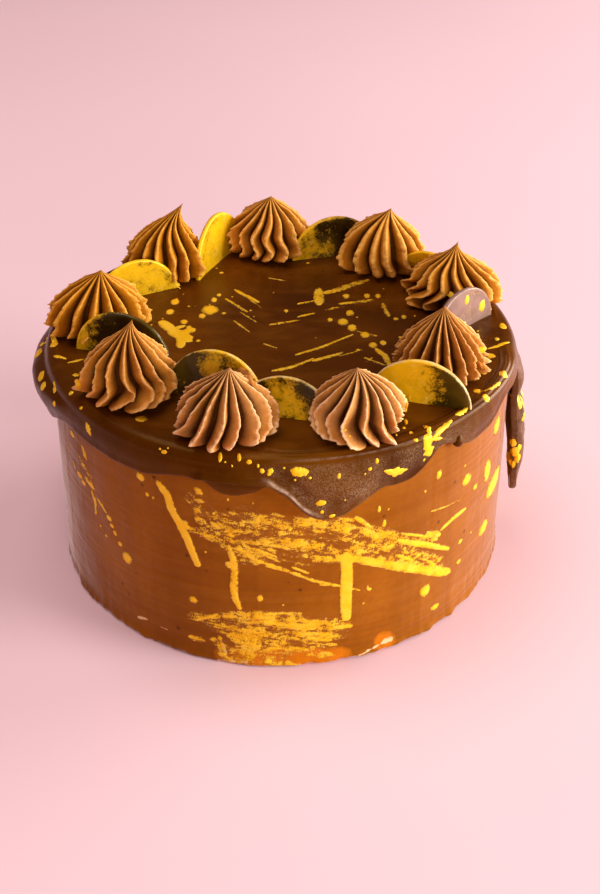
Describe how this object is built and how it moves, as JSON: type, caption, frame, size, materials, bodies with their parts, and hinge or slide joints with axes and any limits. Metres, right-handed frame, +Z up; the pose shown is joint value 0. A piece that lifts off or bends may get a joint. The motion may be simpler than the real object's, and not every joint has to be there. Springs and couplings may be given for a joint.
{
  "type": "chocolate cake",
  "caption": "Round chocolate cake: smooth buttercream side, dark ganache draped over the rim, star-piped swirls in a ring with gilded chocolate discs between them.",
  "frame": {"origin": "middle of the cake's flat base, at the floor", "axes": "+Z up through the middle of the cake; the front that the picture shows faces -Y"},
  "size_m": [0.1739, 0.1666, 0.1088],
  "materials": {
    "buttercream": "satin chocolate buttercream, scraped smooth, splashed and brushed with gold paint",
    "ganache": "dark chocolate ganache with a soft sheen and gold spatter",
    "piped_buttercream": "soft piped chocolate buttercream",
    "gilded_chocolate": "dark chocolate rubbed with gold dust"
  },
  "bodies": {
    "root": {"cake_drum": "buttercream", "ganache": "ganache", "swirl_1": "piped_buttercream", "swirl_2": "piped_buttercream", "swirl_3": "piped_buttercream", "swirl_4": "piped_buttercream", "swirl_5": "piped_buttercream", "swirl_6": "piped_buttercream", "swirl_7": "piped_buttercream", "swirl_8": "piped_buttercream", "swirl_9": "piped_buttercream", "disc_1": "gilded_chocolate", "disc_2": "gilded_chocolate", "disc_3": "gilded_chocolate", "disc_4": "gilded_chocolate", "disc_5": "gilded_chocolate", "disc_6": "gilded_chocolate", "disc_7": "gilded_chocolate", "disc_8": "gilded_chocolate", "disc_9": "gilded_chocolate"}
  },
  "joints": []
}
